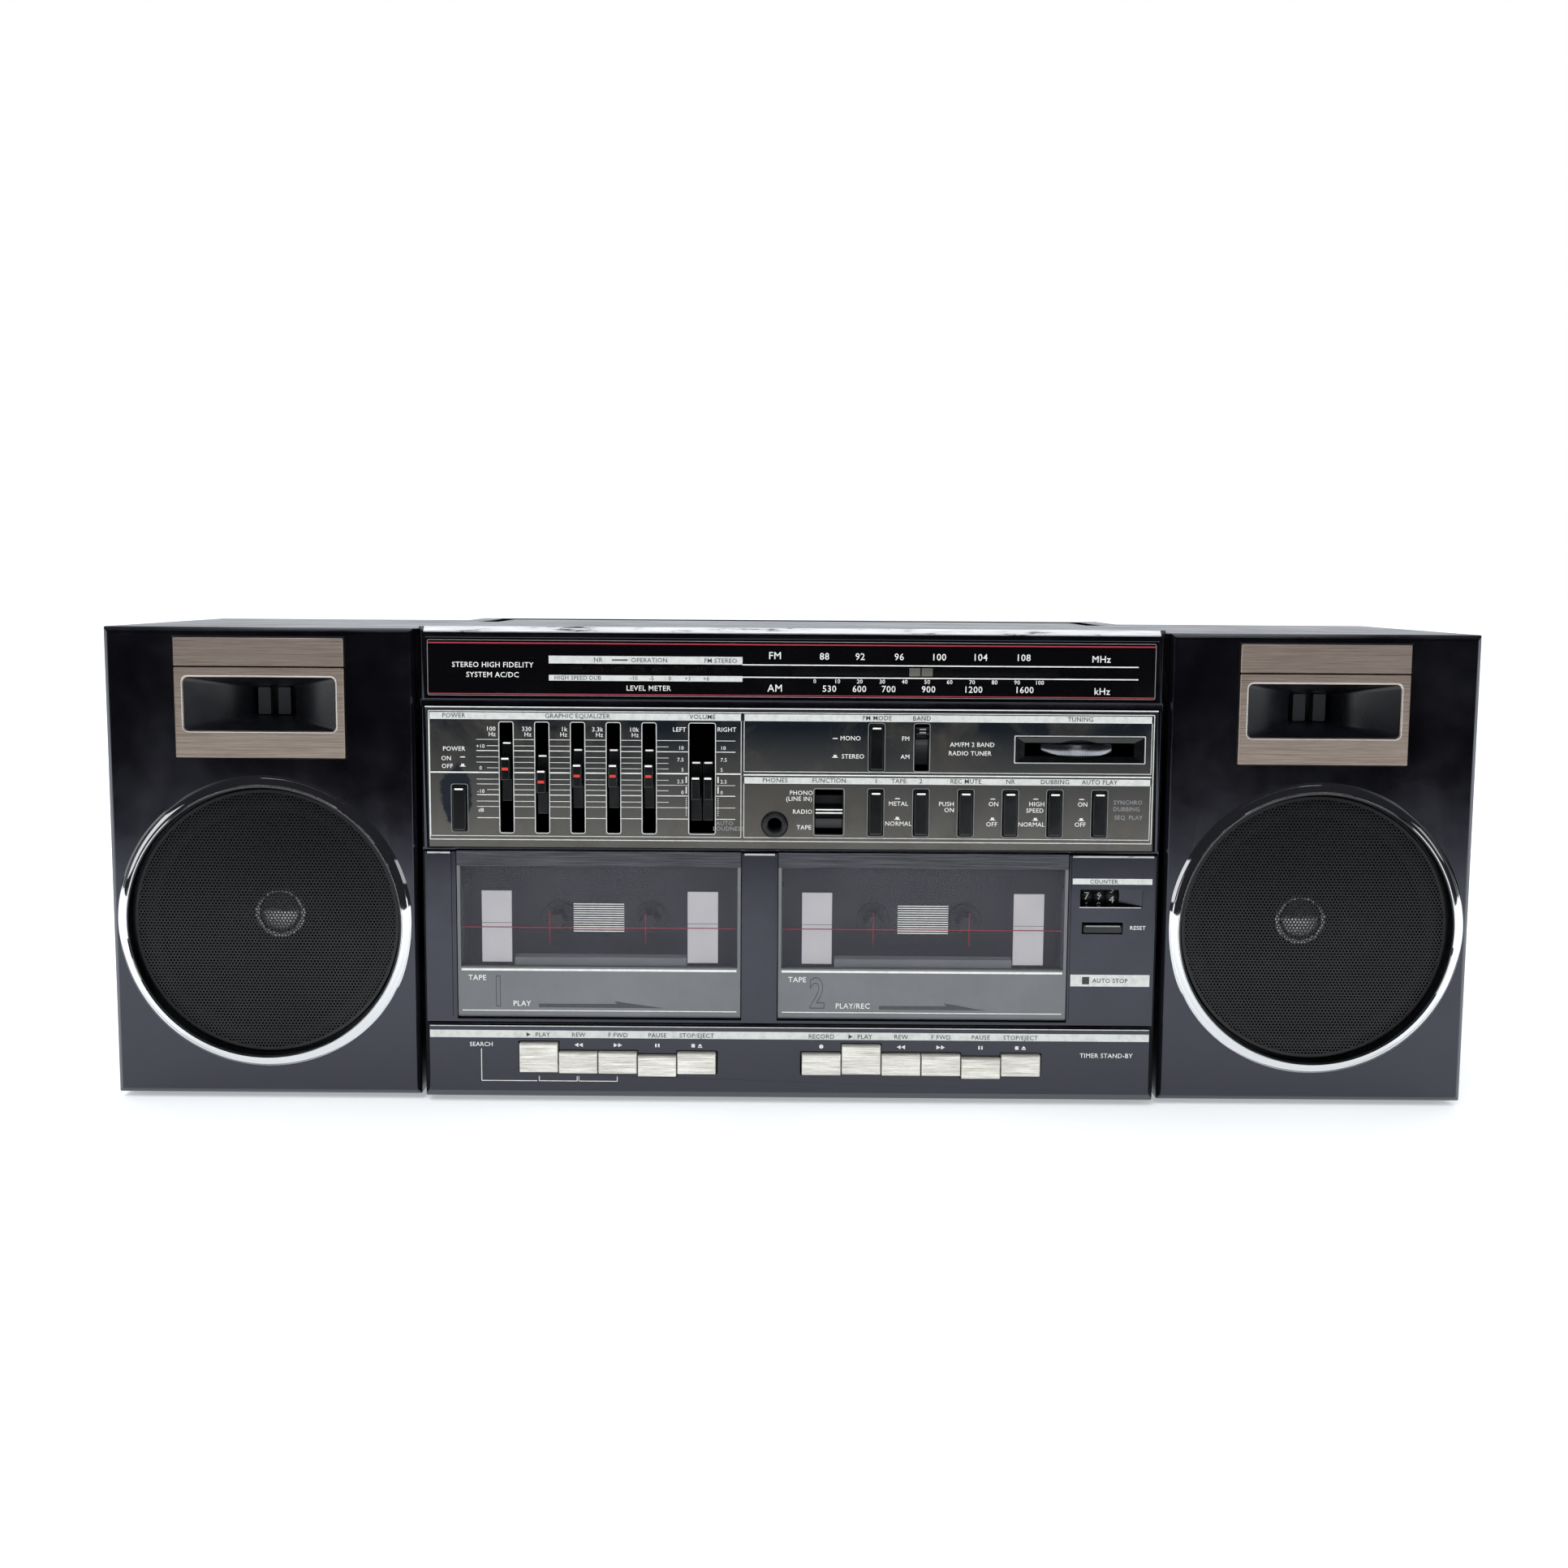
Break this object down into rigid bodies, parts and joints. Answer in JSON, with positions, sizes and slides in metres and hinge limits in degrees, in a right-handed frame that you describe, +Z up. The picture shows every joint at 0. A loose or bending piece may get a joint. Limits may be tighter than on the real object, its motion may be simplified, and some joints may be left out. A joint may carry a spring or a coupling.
{
  "type": "boombox",
  "caption": "Wide black portable stereo radio with equaliser sliders, cassette decks below a tuning dial, and detachable speaker boxes.",
  "frame": {"origin": "middle of the bounding box at the height of the feet's undersides", "axes": "+X to the right seen from the front, -Y out of the front, +Z up"},
  "size_m": [0.613, 0.19, 0.2165],
  "materials": {
    "black_body": "moulded black ABS, satin",
    "dial_lens": "back-printed acrylic, polished",
    "control_panel": "metallic grey lacquer",
    "deck_plastic": "moulded black plastic",
    "button_plastic": "black, slight gloss",
    "key_aluminium": "brushed, horizontal grain",
    "door_smoked": "smoked transparent front with printed trim",
    "chrome": "bright plated",
    "horn_plate": "warm grey brushed plate",
    "grille_steel": "perforated steel, black enamel",
    "woofer_paper": "dark cone",
    "reel_plastic": "black moulded plastic"
  },
  "bodies": {
    "unit": {"front_frame": "black_body", "rear_shell": "black_body", "dial_lens": "dial_lens", "control_panel": "control_panel", "deck_chassis": "deck_plastic", "phones_jack": "deck_plastic"},
    "power_button": {"power_button": "button_plastic"},
    "fm_mode_button": {"fm_mode_button": "button_plastic"},
    "tape_1_type_button": {"tape_1_type_button": "button_plastic"},
    "tape_2_type_button": {"tape_2_type_button": "button_plastic"},
    "rec_mute_button": {"rec_mute_button": "button_plastic"},
    "noise_reduction_button": {"noise_reduction_button": "button_plastic"},
    "dubbing_speed_button": {"dubbing_speed_button": "button_plastic"},
    "auto_play_button": {"auto_play_button": "button_plastic"},
    "counter_reset_button": {"counter_reset_button": "button_plastic"},
    "eq_slider_1": {"eq_slider_1": "button_plastic"},
    "eq_slider_2": {"eq_slider_2": "button_plastic"},
    "eq_slider_3": {"eq_slider_3": "button_plastic"},
    "eq_slider_4": {"eq_slider_4": "button_plastic"},
    "eq_slider_5": {"eq_slider_5": "button_plastic"},
    "volume_slider_left": {"volume_slider_left": "button_plastic"},
    "volume_slider_right": {"volume_slider_right": "button_plastic"},
    "band_switch": {"band_switch": "button_plastic"},
    "function_switch": {"function_switch": "button_plastic"},
    "tuning_wheel": {"tuning_wheel": "chrome"},
    "dial_pointer": {"dial_pointer": "chrome"},
    "tape_1_play_key": {"tape_1_play_key": "key_aluminium"},
    "tape_1_rewind_key": {"tape_1_rewind_key": "key_aluminium"},
    "tape_1_fast_forward_key": {"tape_1_fast_forward_key": "key_aluminium"},
    "tape_1_pause_key": {"tape_1_pause_key": "key_aluminium"},
    "tape_1_stop_eject_key": {"tape_1_stop_eject_key": "key_aluminium"},
    "tape_2_record_key": {"tape_2_record_key": "key_aluminium"},
    "tape_2_play_key": {"tape_2_play_key": "key_aluminium"},
    "tape_2_rewind_key": {"tape_2_rewind_key": "key_aluminium"},
    "tape_2_fast_forward_key": {"tape_2_fast_forward_key": "key_aluminium"},
    "tape_2_pause_key": {"tape_2_pause_key": "key_aluminium"},
    "tape_2_stop_eject_key": {"tape_2_stop_eject_key": "key_aluminium"},
    "cassette_door_1": {"cassette_door_1": "door_smoked"},
    "reel_spindle_1_supply": {"reel_spindle_1_supply": "reel_plastic"},
    "reel_spindle_1_takeup": {"reel_spindle_1_takeup": "reel_plastic"},
    "cassette_door_2": {"cassette_door_2": "door_smoked"},
    "reel_spindle_2_supply": {"reel_spindle_2_supply": "reel_plastic"},
    "reel_spindle_2_takeup": {"reel_spindle_2_takeup": "reel_plastic"},
    "counter_drums": {"counter_drums": "reel_plastic"},
    "carry_handle": {"carry_handle": "black_body"},
    "antenna_tube": {"antenna_tube": "chrome"},
    "antenna_rod": {"antenna_rod": "chrome"},
    "battery_door": {"battery_door": "black_body"},
    "speaker_left": {"speaker_cabinet_left": "black_body", "speaker_front_left": "black_body", "woofer_ring_left": "chrome", "grille_left": "grille_steel", "woofer_left": "woofer_paper", "horn_tweeter_left": "horn_plate"},
    "speaker_right": {"speaker_cabinet_right": "black_body", "speaker_front_right": "black_body", "woofer_ring_right": "chrome", "grille_right": "grille_steel", "woofer_right": "woofer_paper", "horn_tweeter_right": "horn_plate"}
  },
  "joints": [
    {"name": "power_press", "type": "slide", "parent": "unit", "child": "power_button", "axis": [0, 1, 0], "range_m": [0, 0.0018]},
    {"name": "fm_mode_press", "type": "slide", "parent": "unit", "child": "fm_mode_button", "axis": [0, 1, 0], "range_m": [0, 0.0018]},
    {"name": "tape_1_type_press", "type": "slide", "parent": "unit", "child": "tape_1_type_button", "axis": [0, 1, 0], "range_m": [0, 0.0018]},
    {"name": "tape_2_type_press", "type": "slide", "parent": "unit", "child": "tape_2_type_button", "axis": [0, 1, 0], "range_m": [0, 0.0018]},
    {"name": "rec_mute_press", "type": "slide", "parent": "unit", "child": "rec_mute_button", "axis": [0, 1, 0], "range_m": [0, 0.0018], "stiffness_N_per_m": 300, "springref_m": -0.002},
    {"name": "noise_reduction_press", "type": "slide", "parent": "unit", "child": "noise_reduction_button", "axis": [0, 1, 0], "range_m": [0, 0.0018]},
    {"name": "dubbing_speed_press", "type": "slide", "parent": "unit", "child": "dubbing_speed_button", "axis": [0, 1, 0], "range_m": [0, 0.0018]},
    {"name": "auto_play_press", "type": "slide", "parent": "unit", "child": "auto_play_button", "axis": [0, 1, 0], "range_m": [0, 0.0018]},
    {"name": "counter_reset_press", "type": "slide", "parent": "unit", "child": "counter_reset_button", "axis": [0, 1, 0], "range_m": [0, 0.0018], "stiffness_N_per_m": 300, "springref_m": -0.002},
    {"name": "eq_1_travel", "type": "slide", "parent": "unit", "child": "eq_slider_1", "axis": [0, 0, 1], "range_m": [-0.017, 0.0107]},
    {"name": "eq_2_travel", "type": "slide", "parent": "unit", "child": "eq_slider_2", "axis": [0, 0, 1], "range_m": [-0.0113, 0.0164]},
    {"name": "eq_3_travel", "type": "slide", "parent": "unit", "child": "eq_slider_3", "axis": [0, 0, 1], "range_m": [-0.0141, 0.0136]},
    {"name": "eq_4_travel", "type": "slide", "parent": "unit", "child": "eq_slider_4", "axis": [0, 0, 1], "range_m": [-0.0141, 0.0136]},
    {"name": "eq_5_travel", "type": "slide", "parent": "unit", "child": "eq_slider_5", "axis": [0, 0, 1], "range_m": [-0.0141, 0.0136]},
    {"name": "volume_left_travel", "type": "slide", "parent": "unit", "child": "volume_slider_left", "axis": [0, 0, 1], "range_m": [-0.0088, 0.018]},
    {"name": "volume_right_travel", "type": "slide", "parent": "unit", "child": "volume_slider_right", "axis": [0, 0, 1], "range_m": [-0.0088, 0.018]},
    {"name": "band_select", "type": "slide", "parent": "unit", "child": "band_switch", "axis": [0, 0, 1], "range_m": [-0.0108, 0]},
    {"name": "function_select", "type": "slide", "parent": "unit", "child": "function_switch", "axis": [0, 0, 1], "range_m": [-0.005, 0.005]},
    {"name": "tuning_turn", "type": "hinge", "parent": "unit", "child": "tuning_wheel", "pos_m": [0.1283, -0.0751, 0.16345], "axis": [0, 0, 1], "range_deg": [-415, 450]},
    {"name": "pointer_travel", "type": "slide", "parent": "unit", "child": "dial_pointer", "axis": [1, 0, 0], "range_m": [-0.0518, 0.0562]},
    {"name": "tape_1_play_press", "type": "slide", "parent": "unit", "child": "tape_1_play_key", "axis": [0, 1, 0], "range_m": [0, 0.0028], "stiffness_N_per_m": 500, "springref_m": -0.002},
    {"name": "tape_1_rewind_press", "type": "slide", "parent": "unit", "child": "tape_1_rewind_key", "axis": [0, 1, 0], "range_m": [0, 0.0028], "stiffness_N_per_m": 500, "springref_m": -0.002},
    {"name": "tape_1_fast_forward_press", "type": "slide", "parent": "unit", "child": "tape_1_fast_forward_key", "axis": [0, 1, 0], "range_m": [0, 0.0028], "stiffness_N_per_m": 500, "springref_m": -0.002},
    {"name": "tape_1_pause_press", "type": "slide", "parent": "unit", "child": "tape_1_pause_key", "axis": [0, 1, 0], "range_m": [0, 0.0028], "stiffness_N_per_m": 500, "springref_m": -0.002},
    {"name": "tape_1_stop_eject_press", "type": "slide", "parent": "unit", "child": "tape_1_stop_eject_key", "axis": [0, 1, 0], "range_m": [0, 0.0028], "stiffness_N_per_m": 500, "springref_m": -0.002},
    {"name": "tape_2_record_press", "type": "slide", "parent": "unit", "child": "tape_2_record_key", "axis": [0, 1, 0], "range_m": [0, 0.0028], "stiffness_N_per_m": 500, "springref_m": -0.002},
    {"name": "tape_2_play_press", "type": "slide", "parent": "unit", "child": "tape_2_play_key", "axis": [0, 1, 0], "range_m": [0, 0.0028], "stiffness_N_per_m": 500, "springref_m": -0.002},
    {"name": "tape_2_rewind_press", "type": "slide", "parent": "unit", "child": "tape_2_rewind_key", "axis": [0, 1, 0], "range_m": [0, 0.0028], "stiffness_N_per_m": 500, "springref_m": -0.002},
    {"name": "tape_2_fast_forward_press", "type": "slide", "parent": "unit", "child": "tape_2_fast_forward_key", "axis": [0, 1, 0], "range_m": [0, 0.0028], "stiffness_N_per_m": 500, "springref_m": -0.002},
    {"name": "tape_2_pause_press", "type": "slide", "parent": "unit", "child": "tape_2_pause_key", "axis": [0, 1, 0], "range_m": [0, 0.0028], "stiffness_N_per_m": 500, "springref_m": -0.002},
    {"name": "tape_2_stop_eject_press", "type": "slide", "parent": "unit", "child": "tape_2_stop_eject_key", "axis": [0, 1, 0], "range_m": [0, 0.0028], "stiffness_N_per_m": 500, "springref_m": -0.002},
    {"name": "door_1_swing", "type": "hinge", "parent": "unit", "child": "cassette_door_1", "pos_m": [-0.08615, -0.0882, 0.0416], "axis": [1, 0, 0], "range_deg": [0, 26]},
    {"name": "spindle_1_supply_turn", "type": "hinge", "parent": "unit", "child": "reel_spindle_1_supply", "pos_m": [-0.1074, -0.063, 0.0813], "axis": [0, 1, 0], "continuous": true},
    {"name": "spindle_1_takeup_turn", "type": "hinge", "parent": "unit", "child": "reel_spindle_1_takeup", "pos_m": [-0.0649, -0.063, 0.0813], "axis": [0, 1, 0], "continuous": true},
    {"name": "door_2_swing", "type": "hinge", "parent": "unit", "child": "cassette_door_2", "pos_m": [0.0598, -0.0882, 0.0416], "axis": [1, 0, 0], "range_deg": [0, 26]},
    {"name": "spindle_2_supply_turn", "type": "hinge", "parent": "unit", "child": "reel_spindle_2_supply", "pos_m": [0.03855, -0.063, 0.0813], "axis": [0, 1, 0], "continuous": true},
    {"name": "spindle_2_takeup_turn", "type": "hinge", "parent": "unit", "child": "reel_spindle_2_takeup", "pos_m": [0.08105, -0.063, 0.0813], "axis": [0, 1, 0], "continuous": true},
    {"name": "counter_turn", "type": "hinge", "parent": "unit", "child": "counter_drums", "pos_m": [0.1396, -0.07835, 0.0966], "axis": [1, 0, 0], "continuous": true},
    {"name": "handle_swing", "type": "hinge", "parent": "unit", "child": "carry_handle", "pos_m": [0, 0.00695, 0.2075], "axis": [1, 0, 0], "range_deg": [0, 100]},
    {"name": "antenna_raise", "type": "hinge", "parent": "unit", "child": "antenna_tube", "pos_m": [0.15, 0.0879, 0.18655], "axis": [0, 1, 0], "range_deg": [0, 90]},
    {"name": "antenna_extend", "type": "slide", "parent": "antenna_tube", "child": "antenna_rod", "axis": [-1, 0, 0], "range_m": [0, 0.16]},
    {"name": "battery_door_swing", "type": "hinge", "parent": "unit", "child": "battery_door", "pos_m": [-0.05, 0.09068, 0.02167], "axis": [-1, 0, 0], "range_deg": [0, 80]},
    {"name": "speaker_left_lift", "type": "slide", "parent": "unit", "child": "speaker_left", "axis": [0, 0, 1], "range_m": [0, 0.125]},
    {"name": "speaker_right_lift", "type": "slide", "parent": "unit", "child": "speaker_right", "axis": [0, 0, 1], "range_m": [0, 0.125]}
  ],
  "couplings": [
    {"joint": "pointer_travel", "follows": "tuning_turn", "m_per_rad": 0.00711},
    {"joint": "counter_turn", "follows": "spindle_2_takeup_turn", "ratio": -0.1}
  ]
}
